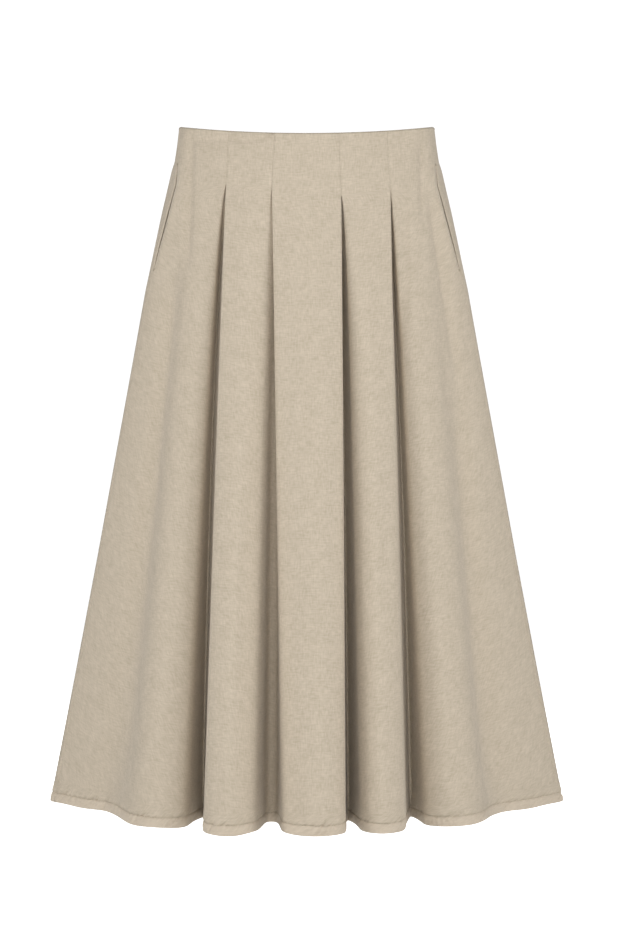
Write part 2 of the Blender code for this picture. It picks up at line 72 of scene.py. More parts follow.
# The cut and the hang. layer is the pitch of the three layers of a stitched pleat.
skirt = dict(
    hemDrop=0.810,
    tipDrop=0.085,
    frontDepth=(0.085, 0.097),  # at the waist, and at the lower end of the pleats' stitching
    backDepth=(0.080, 0.098),
    waistDip=0.0203,
    waistDipPower=1.4,
    widestDepth=(-0.014, -0.028),  # of the sides' widest line, at the pleats' tips and in the hem
    underlay=0.018,
    shoulderMove=0.0006,
    stitchedBend=0.0003,
    floorShare=0.4,  # a narrow floor is drawn sharper than its solid's
    wideFloor=0.010,
    layer=0.0011,
    wall=0.0007,
)
sides = table(
    "drop halfWidth seamX seamDepth",
    (0.000, 0.1526, 0.1512, 0.007),
    (0.026, 0.1564, 0.1526, 0.015),
    (0.040, 0.1587, 0.1531, 0.020),
    (0.050, 0.1622, 0.1537, 0.025),
    (0.074, 0.1680, 0.1558, 0.031),
    (0.101, 0.1740, 0.1634, 0.031),
    (0.147, 0.1833, 0.1759, 0.026),
    (0.195, 0.1927, 0.1874, 0.019),
    (0.268, 0.2044, 0.2021, 0.012),
    (0.364, 0.2212, 0.2202, 0.007),
    (0.510, 0.2478, 0.2466, 0.001),
    (0.655, 0.2750, 0.2737, -0.004),
    (0.810, 0.3052, 0.3032, -0.008),
)
# A stitched-down pleat: its seam at the waist and at its tip, then the corners of its hem
# section. spread and sink are the powers of the share of the way at which it opens across and its
# floor goes back, and swing is how far the underlay turns inwards soon below the tip.
foldColumns = (
    "seamX tipX tipDrop lipX lipDepth underX underDepth farX nearX floorDepth"
    " shoulderX shoulderDepth spread sink swing"
)
frontFolds = table(
    foldColumns,
    (-0.0902, -0.0932, 0.078, -0.116, 0.208, -0.113, 0.150,
     -0.116, -0.123, 0.102, -0.137, 0.174, 0.68, 1.5, 0.016),
    (-0.0368, -0.0401, 0.085, -0.027, 0.203, -0.029, 0.165,
     -0.033, -0.046, 0.134, -0.056, 0.200, 0.68, 1.0, 0.004),
    (0.0374, 0.0395, 0.093, 0.044, 0.208, 0.043, 0.165,
     0.043, 0.052, 0.122, 0.062, 0.196, 0.56, 1.5, 0.018),
    (0.0931, 0.0972, 0.084, 0.109, 0.192, 0.112, 0.150,
     0.116, 0.124, 0.099, 0.136, 0.160, 0.85, 1.5, 0.018),
)
backFolds = table(
    foldColumns,
    (-0.0880, -0.0930, 0.096, -0.119, 0.182, -0.119, 0.142,
     -0.124, -0.134, 0.100, -0.149, 0.152, 0.70, 1.5, 0.014),
    (-0.0420, -0.0450, 0.102, -0.046, 0.200, -0.046, 0.160,
     -0.048, -0.057, 0.122, -0.066, 0.184, 0.66, 1.4, 0.012),
    (0.0430, 0.0460, 0.104, 0.051, 0.196, 0.050, 0.158,
     0.053, 0.063, 0.118, 0.072, 0.180, 0.74, 1.4, 0.010),
    (0.0890, 0.0940, 0.097, 0.122, 0.176, 0.122, 0.138,
     0.129, 0.140, 0.096, 0.154, 0.148, 0.64, 1.5, 0.016),
)
# lines that the cloth rounds over between the pleats; group is the number of pleats before them
crestColumns = "group waistX tipX hemX hemDepth"
frontCrests = table(
    crestColumns,
    (0, -0.145, -0.150, -0.262, 0.040),
    (0, -0.136, -0.141, -0.226, 0.066),
    (0, -0.124, -0.129, -0.205, 0.140),
    (0, -0.109, -0.114, -0.177, 0.173),
    (1, -0.066, -0.067, -0.084, 0.230),
    (2, -0.013, -0.013, -0.006, 0.222),
    (2, 0.013, 0.013, 0.022, 0.229),
    (3, 0.066, 0.068, 0.084, 0.216),
    (4, 0.110, 0.117, 0.165, 0.169),
    (4, 0.124, 0.131, 0.202, 0.135),
    (4, 0.136, 0.142, 0.216, 0.075),
    (4, 0.145, 0.151, 0.262, 0.042),
)
backCrests = table(
    crestColumns,
    (0, -0.143, -0.156, -0.268, 0.052),
    (0, -0.130, -0.140, -0.228, 0.074),
    (0, -0.112, -0.120, -0.190, 0.150),
    (1, -0.065, -0.068, -0.086, 0.204),
    (2, -0.014, -0.014, -0.020, 0.212),
    (2, 0.014, 0.014, 0.022, 0.210),
    (3, 0.066, 0.069, 0.091, 0.198),
    (4, 0.112, 0.120, 0.192, 0.146),
    (4, 0.130, 0.140, 0.226, 0.078),
    (4, 0.143, 0.156, 0.268, 0.048),
)
# how a pleat's corner opens below its stitching: its exponent across as a share of the pleat's
# spread, its exponent in depth as a number and a share of the pleat's sink, its layer in the
# stitched fold, its bend's reach in the hem, and its part of the swing. The shoulder lies
# level with the lip, so that the stitched seam is flush, and its foot goes down beside it.
corner = dict(
    shoulder=(1.00, 1.2, 0.00, 0, 0.045, 0.0),
    foot=(0.97, 0.0, 0.93, 2, 0.045, 0.5),
    near=(0.40, 0.0, 1.00, 2, 0.045, 1.0),
    far=(0.40, 0.0, 1.00, 1, 0.045, 1.0),
    under=(1.25, 1.0, 0.00, 1, 0.045, 0.3),
    lip=(1.32, 1.0, 0.00, 0, 0.030, 0.0),
    crest=(1.0, 1.0, 0.00, 0, 1.000, 0.0),
)
swingPeak = 0.16  # share of the open length at which the underlay points inwards most
footMove = 0.2  # how much of the shoulder's sideways move its foot makes in the stitching
footShare = 0.55  # how far the foot stands from the shoulder to the near floor, in the hem


def foldLines(fold):
    # one pleat's corners from the shoulder of its lower side to the lip of its upper side, as
    # rows of waistX, tipX, tipDrop, hemX, hemDepth, two exponents, layer, bend and swing
    towards = -np.sign(fold["seamX"])
    far, near = towards * skirt["underlay"], -towards * skirt["shoulderMove"]
    middle = (fold["nearX"] + fold["farX"]) / 2
    floor = skirt["floorShare"] if abs(fold["nearX"] - fold["farX"]) < skirt["wideFloor"] else 1.0
    nearX, farX = (middle + (fold[name] - middle) * floor for name in ("nearX", "farX"))
    footX = fold["shoulderX"] + (fold["nearX"] - fold["shoulderX"]) * footShare
    footDepth = fold["shoulderDepth"] + (fold["floorDepth"] - fold["shoulderDepth"]) * footShare
    places = (
        (near, fold["shoulderX"], fold["shoulderDepth"], "shoulder"),
        (near * footMove, footX, footDepth, "foot"),
        (far, nearX, fold["floorDepth"], "near"),
        (far, farX, fold["floorDepth"], "far"),
        (0, fold["underX"], fold["underDepth"], "under"),
        (0, fold["lipX"], fold["lipDepth"], "lip"),
    )
    rows = []
    for move, x, depth, kind in places:
        across, fixed, bySink, layer, bend, part = corner[kind]
        ends = fold["seamX"] + move, fold["tipX"] + move, fold["tipDrop"], x, depth
        powers = across * fold["spread"], fixed + bySink * fold["sink"]
        rows.append((*ends, *powers, layer, bend, part * fold["swing"]))
    return rows if fold["seamX"] < 0 else rows[::-1]


def halfLines(folds, crests):
    # every line of the front or the back, from the right side to the left
    count = len(folds["seamX"])
    rows = []
    for group in range(count + 1):
        beside = folds["tipDrop"][max(group - 1, 0) : group + 1].mean()
        for i in np.flatnonzero(crests["group"] == group):
            waistX, tipX, hemX, hemDepth = (crests[name][i] for name in crestColumns.split()[1:])
            across, deepen, _, layer, bend, swing = corner["crest"]
            rows.append((waistX, tipX, beside, hemX, hemDepth, across, deepen, layer, bend, swing))
        if group < count:
            rows += foldLines({name: column[group] for name, column in folds.items()})
    return np.array(rows)


def onBody(x, drop, front, layer):
    # the waist's ellipse at a drop, moved inwards along its normal by some layers
    half = np.interp(drop, sides["drop"], sides["halfWidth"])
    waist, tip = skirt["frontDepth"] if front else skirt["backDepth"]
    depth = waist + (tip - waist) * drop / skirt["tipDrop"]
    d = depth * np.sqrt(np.clip(1 - (x / half) ** 2, 0, 1))
    nx, nd = x / half**2, d / depth**2
    inwards = layer * skirt["layer"] / np.hypot(nx, nd)
    return x - nx * inwards, d - nd * inwards


def cornersOf(lines, front, stitched, opened):
    # (row, line, xyz) and bend radii. Down the stitching a corner lies on the ellipse, and below
    # its tip it goes to its place in the hem by a power of the share of the way. A crest's bend,
    # with a reach of 1, is held back by the length of its sides alone
    waistX, tipX, tipDrop, hemX, hemDepth, across, deepen, layer, bend, swing = lines.T
    edge = onBody(waistX, 0 * waistX, front, 0)[1] / skirt["frontDepth"][0]
    top = skirt["waistDip"] * edge ** skirt["waistDipPower"] if front else 0 * waistX
    upper = top + (tipDrop - top) * stitched
    drop = upper + (skirt["hemDrop"] - tipDrop) * opened
    x, d = onBody(waistX + (tipX - waistX) * stitched, upper, front, layer)
    x = x + (hemX - x) * opened**across
    d = d + (hemDepth - d) * opened**deepen
    d = d - swing * opened / swingPeak * np.exp(1 - opened / swingPeak)
    radius = np.where(bend < 1, np.maximum(skirt["stitchedBend"], bend * opened), 1.0)
    return np.stack([x, -d if front else d, -drop], -1), radius


def sideCorners(sign, stitched, opened):
    # the widest line, then the side seam in front of it
    drop = (skirt["tipDrop"] * stitched + (skirt["hemDrop"] - skirt["tipDrop"]) * opened)[:, 0]
    high, low = skirt["widestDepth"]
    widest = np.interp(drop, sides["drop"], sides["halfWidth"]), high + (low - high) * opened[:, 0]
    seam = [np.interp(drop, sides["drop"], sides[name]) for name in ("seamX", "seamDepth")]
    return np.stack([np.stack([sign * x, -d, -drop], -1) for x, d in (widest, seam)], axis=1)


bendSamples = 9
settling = 4
besideShare, ownShare = 0.125, 0.75  # of each neighbour and of the corner, in a full bend's middle


def sectionLoop(stitched, opened, folded=True):
    # The closed sections (row, point, xyz) at shares of the stitched and the open length, from
    # the centre back by the right side and the front to the left side and back. Each corner is a
    # quadratic curve between points on its two sides, at most half a side away. Knots are the
    # places of the centre back, of each corner's middle, and of the centre back again.
    stitched, opened = (np.asarray(v, float)[:, None] for v in (stitched, opened))
    frontLines, backLines = halfLines(frontFolds, frontCrests), halfLines(backFolds, backCrests)
    if not folded:  # the outermost layer alone, for what runs across the pleats
        frontLines, backLines = (lines[lines[:, 7] == 0] for lines in (frontLines, backLines))
    half = len(backLines) // 2
    front, frontRadius = cornersOf(frontLines, True, stitched, opened)
    back, backRadius = cornersOf(backLines, False, stitched, opened)
    right, left = sideCorners(-1, stitched, opened), sideCorners(1, stitched, opened)[:, ::-1]
    corners = [back[:, :half][:, ::-1], right, front, left, back[:, half:][:, ::-1]]
    wide = np.ones((len(stitched), 2))
    radii = [backRadius[:, :half][:, ::-1], wide, frontRadius, wide, backRadius[:, half:][:, ::-1]]
    corners, radii = np.concatenate(corners, axis=1), np.concatenate(radii, axis=1)
    rightSeam, leftSeam = half + 1, half + 2 + front.shape[1]
    aims = corners.copy()  # the rounded section is to pass through the outline and the seam
    for _ in range(settling):
        for seam, widest in ((rightSeam, half), (leftSeam, leftSeam + 1)):
            for place, axes in ((widest, (0,)), (seam, (0, 1))):
                around = corners[:, place - 1] + corners[:, place + 1]
                for axis in axes:
                    aim = aims[:, place, axis] - besideShare * around[:, axis]
                    corners[:, place, axis] = aim / ownShare
    ends = []
    for step in (1, -1):
        way = np.roll(corners, step, axis=1) - corners
        length = np.linalg.norm(way, axis=2)
        share = np.minimum(radii, length / 2) / length
        ends.append((corners + way * share[..., None])[:, :, None])
    start, end = ends
    t = np.linspace(0, 1, bendSamples)[None, None, :, None]
    curve = (1 - t) ** 2 * start + 2 * t * (1 - t) * corners[:, :, None] + t**2 * end
    centre = (corners[:, :1] + corners[:, -1:]) / 2
    points = np.concatenate([centre, curve.reshape(len(stitched), -1, 3), centre], axis=1)
    middles = 1 + bendSamples * np.arange(corners.shape[1]) + bendSamples // 2
    return points, dict(all=[0, *middles, points.shape[1] - 1], right=rightSeam + 1, left=leftSeam + 1)


def measured(points):
    # distance along each row to each of its points
    steps = np.linalg.norm(np.diff(points, axis=1), axis=2)
    return np.concatenate([np.zeros((len(points), 1)), np.cumsum(steps, axis=1)], axis=1)


def readAt(points, gone, places):
    # each row's points at distances along it
    rows = [[np.interp(p, g, axis) for axis in row.T] for row, g, p in zip(points, gone, places)]
    return np.array(rows).transpose(0, 2, 1)


def outwards(points):
    # level normals of the sections, to the right of the way that they run
    way = np.gradient(points, axis=1)
    return unit(np.stack([way[..., 1], -way[..., 0], 0 * way[..., 0]], axis=-1))


def shareAt(drop):
    drop = np.asarray(drop, float)
    opened = (drop - skirt["tipDrop"]) / (skirt["hemDrop"] - skirt["tipDrop"])
    return np.clip(drop / skirt["tipDrop"], 0, 1), np.clip(opened, 0, 1)


mesh = dict(
    columnPitch=0.0055,
    leastColumns=4,
    crowd=0.55,
    stitchedRows=44,
    openRows=100,
    rowShares=(0.45, 0.55),  # of t and of its square, in the share of the open length
)
hem = dict(
    fold=0.011,
    above=0.012,
    columnPitch=0.0008,
    seamGap=0.0001,
    pucker=0.0021,
    waveHeight=0.00035,
    waveReach=0.011,
)
pocket = dict(
    top=0.048,
    end=0.172,
    gape=0.0028,
    gapeScale=1.52,
    gapePower=0.3,
    mouth=0.010,
    lip=0.0013,
    lipReach=0.004,
    edge=0.0005,
)
closure = dict(end=0.205, topGap=0.0026, gapEnd=0.030, past=0.020)
turn = dict(radius=0.00045, allowance=0.0090, narrow=0.0022, seamGap=0.00036, uvStep=0.001)


def panelRows():
    # shares of the stitched and of the open length, closer together below the pleats' tips
    last = shareAt(skirt["hemDrop"] - hem["fold"] - hem["above"])[1]
    upper = np.linspace(0, 1, mesh["stitchedRows"], endpoint=False)
    t = np.linspace(0, 1, mesh["openRows"])
    lower = last * (mesh["rowShares"][0] * t + mesh["rowShares"][1] * t**2)
    return np.concatenate([upper, np.ones(len(lower))]), np.concatenate([0 * upper, lower])


def plainGap(drop):
    return turn["seamGap"] + 0 * drop


def zipGap(drop):
    more = closure["topGap"] / 2 - turn["seamGap"]
    return turn["seamGap"] + more * np.clip(1 - drop / closure["gapEnd"], 0, 1)


def mouthShare(drop):
    return np.clip((drop - pocket["top"]) / (pocket["end"] - pocket["top"]), 0, 1)


def pocketGap(drop):
    # the pocket's mouth gapes nearly evenly and closes at both ends: scale * (t * (1 - t))^power
    t = mouthShare(drop)
    return turn["seamGap"] + pocket["gape"] * pocket["gapeScale"] * (t * (1 - t)) ** pocket["gapePower"]


def lipDepth(drop):
    # how far the mouth's front edge is pushed in: lip * sin(pi t)^0.5
    return pocket["lip"] * np.sin(np.pi * mouthShare(drop)) ** 0.5


# Soft troughs beside the pleats, uneven as shown, and like ones on the back, as straight lines on
# the front (face -1) or the back (1), then creases pressed in near the waist
dips = table(
    "face startX startZ stopX stopZ width depth",
    (-1, -0.1365, 0.000, -0.1405, -0.190, 0.0055, 0.0036),
    (-1, -0.1560, -0.170, -0.1830, -0.470, 0.0100, 0.0050),
    (-1, -0.1780, -0.390, -0.2120, -0.800, 0.0120, 0.0064),
    (-1, 0.1360, -0.010, 0.1360, -0.130, 0.0050, 0.0028),
    (-1, 0.1420, -0.060, 0.1840, -0.330, 0.0070, 0.0046),
    (-1, 0.1760, -0.270, 0.2130, -0.820, 0.0115, 0.0062),
    (-1, 0.1160, -0.085, 0.1125, -0.250, 0.0045, 0.0030),
    (-1, -0.0620, -0.330, -0.0720, -0.760, 0.0120, 0.0012),
    (1, -0.1390, -0.020, -0.1440, -0.230, 0.0080, 0.0016),
    (1, -0.1620, -0.210, -0.2150, -0.790, 0.0130, 0.0030),
    (1, 0.1370, -0.030, 0.1500, -0.280, 0.0075, 0.0015),
    (1, 0.1640, -0.240, 0.2050, -0.700, 0.0120, 0.0026),
    (1, 0.0660, -0.400, 0.0760, -0.790, 0.0120, 0.0014),
    (-1, -0.1400, -0.0230, -0.0890, -0.0250, 0.0028, 0.0012),
    (-1, -0.0950, -0.0245, -0.0620, -0.0290, 0.0028, 0.0016),
    (-1, -0.0660, -0.0290, -0.0340, -0.0210, 0.0028, 0.0014),
    (-1, 0.0800, -0.0240, 0.1200, -0.0300, 0.0028, 0.0004),
    (1, 0.0300, -0.0300, 0.0900, -0.0240, 0.0028, 0.0005),
    (1, -0.1100, -0.0260, -0.0520, -0.0330, 0.0026, 0.0004),
)
dipEase = 0.2  # the share of a trough's length over which each of its ends fades
ovalWeights = (1, 2.5, 0)  # of x, y and z in the outward direction of a wide oval


def dipped(points):
    # moves the cloth inwards by depth * exp(-(off / width)^2), eased at both ends
    total = 0
    for face, x0, z0, x1, z1, width, depth in np.stack(list(dips.values()), axis=1):
        length = np.hypot(x1 - x0, z1 - z0)
        way = np.array([x1 - x0, z1 - z0]) / length
        dx, dz = points[..., 0] - x0, points[..., 2] - z0
        along = (dx * way[0] + dz * way[1]) / length
        off = (dx * way[1] - dz * way[0]) / width
        ends = smooth(along / dipEase) * smooth((1 - along) / dipEase)
        total = total + depth * np.exp(-(off**2)) * ends * (points[..., 1] * face > 0)
    out = unit(points * ovalWeights)
    return points - out * total[..., None]


def turnedIn(points, allowance, end):
    # The columns of a seam allowance: the cloth goes round half a circle at its edge and runs
    # back inside. point = centre - along * r * sin(angle) + out * r * cos(angle)
    edge, inner = (points[:, 0], points[:, 1]) if end == 0 else (points[:, -1], points[:, -2])
    along = unit((inner - edge) * (1, 1, 0))
    out = np.stack([along[:, 1], -along[:, 0], 0 * along[:, 0]], -1) * (1 if end == 0 else -1)
    r = turn["radius"]
    centre = edge - out * r
    angles = np.radians((45, 90, 135, 180))
    columns = [centre - along * r * np.sin(a) + out * r * np.cos(a) for a in angles]
    columns += [columns[-1] + along * (allowance * share)[:, None] for share in (0.5, 1.0)]
    strip = np.stack(columns, axis=1)
    return strip[:, ::-1] if end == 0 else strip


def panelGrid(first, last, edgeGaps):
    # (row, column, xyz) of one panel between two knots, with its columns closer at the bends:
    # within an interval the share is t - crowd * sin(2 pi t) / (2 pi)
    stitched, opened = panelRows()
    loop, knots = sectionLoop(stitched, opened)
    gone = measured(loop)
    places = gone[:, knots["all"][first : last + 1]]
    drop = -loop[:, knots["all"]][:, [first, last], 2]
    places[:, 0] += edgeGaps[0](drop[:, 0]) + turn["radius"]
    places[:, -1] -= edgeGaps[1](drop[:, 1]) + turn["radius"]
    counts = np.diff(places[-1]) / mesh["columnPitch"]
    counts = np.maximum(np.round(counts), mesh["leastColumns"]).astype(int)
    columns = []
    for i, count in enumerate(counts):
        t = np.arange(count) / count
        t = t - mesh["crowd"] * np.sin(2 * np.pi * t) / (2 * np.pi)
        columns.append(places[:, i : i + 1] * (1 - t) + places[:, i + 1 : i + 2] * t)
    places = np.concatenate([*columns, places[:, -1:]], axis=1)
    return readAt(loop, gone, places), places, drop


def metric(points, places):
    # UV in metres: the distance along the section from the panel's middle, and down the column
    middle = (places[:, :1] + places[:, -1:]) / 2
    down = np.linalg.norm(np.diff(points, axis=0), axis=2)
    down = np.concatenate([np.zeros((1, points.shape[1])), np.cumsum(down, axis=0)])
    return np.stack([places - middle, -down], axis=-1)


def meshPiece(name, points, quads, uv, paint, wall=0.0, rim=True):
    made = bpy.data.meshes.new(name)
    made.from_pydata(points.reshape(-1, 3).tolist(), [], quads.tolist())
    layer = made.uv_layers.new(name="metres")
    layer.uv.foreach_set("vector", uv.reshape(-1, 2)[quads.ravel()].astype(np.float32).ravel())
    made.shade_smooth()
    made.materials.append(paint)
    piece = bpy.data.objects.new(name, made)
    bpy.context.scene.collection.objects.link(piece)
    if wall:
        solidify = piece.modifiers.new("wall", "SOLIDIFY")
        solidify.thickness = wall
        solidify.offset = 0
        solidify.use_rim = rim
    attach(piece, "skirt")
    print(name, "made:", len(quads) * (4 if wall else 2), "triangles")
    return piece


def gridPiece(name, points, uv, paint, wall=0.0, rim=True):
    # quads through a grid, outer side out where columns run right to left round the front
    rows, columns = points.shape[:2]
    index = np.arange(rows * columns).reshape(rows, columns)
    quads = np.stack([index[:-1, :-1], index[1:, :-1], index[1:, 1:], index[:-1, 1:]], axis=-1)
    return meshPiece(name, points, quads.reshape(-1, 4), uv, paint, wall, rim)


def stitches(name, centres, along, out, length, radius, paint, slot="linen"):
    # thread on the cloth, a short bar for each stitch whose ends go down into it: rings of four
    # points at centre + along * reach + out * lift
    along, out = unit(along), unit(out)
    side = np.cross(along, out)
    reach, lift = np.array([[-0.5, -0.3, 0.3, 0.5], [-1.2, 0.3, 0.3, -1.2]])
    middles = centres[:, None] + along[:, None] * length * reach[:, None]
    middles = middles + out[:, None] * radius * lift[:, None]
    angle = np.radians((0, 90, 180, 270))[:, None]
    ring = side[:, None, None] * np.cos(angle) + out[:, None, None] * np.sin(angle)
    points = middles[:, :, None] + radius * ring
    index = np.arange(points[..., 0].size).reshape(points.shape[:3])
    after = np.roll(index, -1, axis=2)
    quads = np.stack([index[:, :-1], index[:, 1:], after[:, 1:], after[:, :-1]], -1).reshape(-1, 4)
    uv = np.broadcast_to((reach * length)[:, None, None] * (1, 0), (*points.shape[:3], 2))
    return meshPiece(name, points, quads, np.array(uv), paint)


def linear(code):
    # an sRGB hex colour as linear red, green, blue and alpha
    c = np.array([int(code[i : i + 2], 16) for i in (0, 2, 4)]) / 255
    c = np.where(c <= 0.04045, c / 12.92, ((c + 0.055) / 1.055) ** 2.4)
    return (*c, 1.0)


def add(tree, kind, inputs, **settings):
    # one node with its settings, and its inputs as values or as the sockets that feed them
    made = tree.nodes.new(kind)
    for name, value in settings.items():
        setattr(made, name, value)
    for name, value in inputs.items():
        if isinstance(value, bpy.types.NodeSocket):
            tree.links.new(value, made.inputs[name])
        else:
            made.inputs[name].default_value = value
    return made


def mixed(tree, share, first, second):
    return add(tree, "ShaderNodeMix", {0: share, 6: first, 7: second}, data_type="RGBA").outputs[2]


def added(tree, first, factor, second):
    # first * factor + second
    values = {0: first, 1: factor, 2: second}
    return add(tree, "ShaderNodeMath", values, operation="MULTIPLY_ADD").outputs[0]


clothLook = dict(
    mottle=0.8,  # the mottle's weight beside the two sets of flecks
    tones=(1.0, 1.8),  # the sums of the three that give the dark and the pale colour
    weave=0.4,  # the weave's weight in the relief, beside the tone
    waviness=0.6,
    relief=0.0003,
    reliefStrength=0.3,
    bandDepth=0.002,
    bandShare=0.35,
    sheenRoughness=0.5,
    specular=0.2,
)


def wovenCloth(name, pale, dark, threadMm, fleckMm, mottleMm, roughness, sheen, band=None):
    # Plain-woven matt cloth, drawn on its own metres. Thick and thin yarns show as short flecks
    # both ways over a soft mottle, and the weave itself is a fine relief. Flecks and weave are
    # drawn a little coarser than the thread, which would be finer than a pixel. Below y = 0 a
    # stitched band may be toned by a colour.
    made = bpy.data.materials.new(name)
    made.use_nodes = True
    tree = made.node_tree
    shader = tree.nodes["Principled BSDF"]
    uv = add(tree, "ShaderNodeUVMap", {}, uv_map="metres").outputs["UV"]
    across, along = 1000 / fleckMm[0], 1000 / fleckMm[1]
    flecks = []
    for scale in ((along, across, 1), (across, along, 1)):
        placed = add(tree, "ShaderNodeMapping", {"Vector": uv, "Scale": scale}).outputs[0]
        noise = add(tree, "ShaderNodeTexNoise", {"Vector": placed, "Scale": 1.0, "Detail": 1.0})
        flecks.append(noise.outputs[0])
    yarn = add(tree, "ShaderNodeMath", {0: flecks[0], 1: flecks[1]}, operation="ADD").outputs[0]
    cloudy = {"Vector": uv, "Scale": 1000 / mottleMm, "Detail": 3.0, "Roughness": 0.55}
    mottle = add(tree, "ShaderNodeTexNoise", cloudy).outputs[0]
    tone = added(tree, mottle, clothLook["mottle"], yarn)
    darkest, palest = clothLook["tones"]
    ramp = add(tree, "ShaderNodeMapRange", {0: tone, 1: darkest, 2: palest, 3: 0.0, 4: 1.0}).outputs[0]
    colour = mixed(tree, ramp, linear(dark), linear(pale))
    if band:
        height = add(tree, "ShaderNodeSeparateXYZ", {0: uv}).outputs["Y"]
        fade = {0: height, 1: 0.0, 2: -clothLook["bandDepth"], 3: 0.0, 4: clothLook["bandShare"]}
        low = add(tree, "ShaderNodeMapRange", fade).outputs[0]
        colour = mixed(tree, low, colour, linear(band))
    tree.links.new(colour, shader.inputs["Base Color"])
    waveScale = 1000 / threadMm / 20 * np.pi  # one wave of this node is 20 / pi of its units long
    waves = []
    for direction in ("X", "Y"):
        rippled = {"Vector": uv, "Scale": waveScale, "Distortion": clothLook["waviness"]}
        wave = add(tree, "ShaderNodeTexWave", rippled, bands_direction=direction)
        waves.append(wave.outputs["Fac"])
    weave = add(tree, "ShaderNodeMath", {0: waves[0], 1: waves[1]}, operation="MULTIPLY").outputs[0]
    raised = {
        "Strength": clothLook["reliefStrength"],
        "Distance": clothLook["relief"],
        "Height": added(tree, weave, clothLook["weave"], tone),
    }
    bump = add(tree, "ShaderNodeBump", raised)
    tree.links.new(bump.outputs[0], shader.inputs["Normal"])
    shader.inputs["Roughness"].default_value = roughness
    shader.inputs["Sheen Weight"].default_value = sheen
    shader.inputs["Sheen Roughness"].default_value = clothLook["sheenRoughness"]
    shader.inputs["Specular IOR Level"].default_value = clothLook["specular"]
    return made


lacquer = dict(dark="B3A88F", pale="C2B8A0", cloudScale=900.0, roughness=(0.28, 0.42), metallic=0.35)


def lacqueredMetal():
    # zinc alloy under beige lacquer: satin, with a faint unevenness where it was dipped
    made = bpy.data.materials.new("lacqueredZinc")
    made.use_nodes = True
    tree = made.node_tree
    shader = tree.nodes["Principled BSDF"]
    place = add(tree, "ShaderNodeTexCoord", {}).outputs["Object"]
    cloudy = {"Vector": place, "Scale": lacquer["cloudScale"], "Detail": 3.0}
    cloud = add(tree, "ShaderNodeTexNoise", cloudy).outputs[0]
    colour = mixed(tree, cloud, linear(lacquer["dark"]), linear(lacquer["pale"]))
    tree.links.new(colour, shader.inputs["Base Color"])
    smoothest, roughest = lacquer["roughness"]
    rough = add(tree, "ShaderNodeMapRange", {0: cloud, 1: 0.0, 2: 1.0, 3: smoothest, 4: roughest})
    tree.links.new(rough.outputs[0], shader.inputs["Roughness"])
    shader.inputs["Metallic"].default_value = lacquer["metallic"]
    return made


# linen woven plain from uneven flax yarn and washed soft: matt, and flecked both ways
linenYarn = dict(threadMm=0.8, fleckMm=(1.7, 8.0), mottleMm=16.0, roughness=0.92, sheen=0.15)
linen = wovenCloth("stoneLinen", "C8BBA9", "B3A794", **linenYarn)
# the same in the hem, whose band of three layers lets less light through and looks paler
hemLinen = wovenCloth("stoneLinenHem", "C8BBA9", "B3A794", band="D2C3B1", **linenYarn)
# the same linen painted darker on the waist's turned edge: painted shade of the fold where it turns away
# from the light
waistEdgePaintedShade = wovenCloth("stoneLinenTurnedEdgePaintedShade", "AFA594", "9C9282", **linenYarn)
# close plain cotton of fine even yarn: matt and nearly smooth
cottonYarn = dict(threadMm=0.5, fleckMm=(0.8, 4.0), mottleMm=4.0, roughness=0.9, sheen=0.05)
pocketing = wovenCloth("ecruPocketing", "D2C7B4", "C4B8A4", **cottonYarn)
# the panels' linen again, painted pale along the pressed fold of a pocket's mouth: a painted highlight
# where the rounded fold catches the light
mouthEdgePaintedHighlight = wovenCloth("stoneLinenFoldedEdgePaintedHighlight", "E4D9C8", "D3C8B6", **linenYarn)
# polyester tape woven hard and flat, a little smoother than the cloth
tapeYarn = dict(threadMm=0.8, fleckMm=(0.8, 3.0), mottleMm=3.0, roughness=0.85, sheen=0.1)
zipTape = wovenCloth("beigeZipTape", "C4B9A3", "AFA58F", **tapeYarn)
# spun polyester thread, twisted tight, with a slight lustre; its colour is darker than the cloth's,
# partly its own tone and partly painted shade of the stitch lines
threadYarn = dict(threadMm=0.4, fleckMm=(0.4, 1.0), mottleMm=1.0, roughness=0.6, sheen=0.1)
threadWithPaintedShade = wovenCloth("polyesterThreadPaintedShade", "B4A792", "A29681", **threadYarn)
metal = lacqueredMetal()


def panelKnots():
    # each panel's name, and the knots at its first and its last column
    _, knots = sectionLoop([0.0], [0.0])
    rightSeam, leftSeam, end = knots["right"], knots["left"], len(knots["all"]) - 1
    return ("back_right", 0, rightSeam), ("front", rightSeam, leftSeam), ("back_left", leftSeam, end)


panelGaps = {
    "back_right": (zipGap, plainGap),
    "front": (pocketGap, pocketGap),
    "back_left": (plainGap, zipGap),
}


def mouthPushedIn(points, places, drops):
    # the front's two edges go inwards by lipDepth * exp(-(distance / reach)^2)
    for side in (0, -1):
        near = np.exp(-(((places - places[:, [side]]) / pocket["lipReach"]) ** 2))
        inwards = lipDepth(drops[:, side])[:, None] * near
        points = points - outwards(points) * inwards[..., None]
    return points


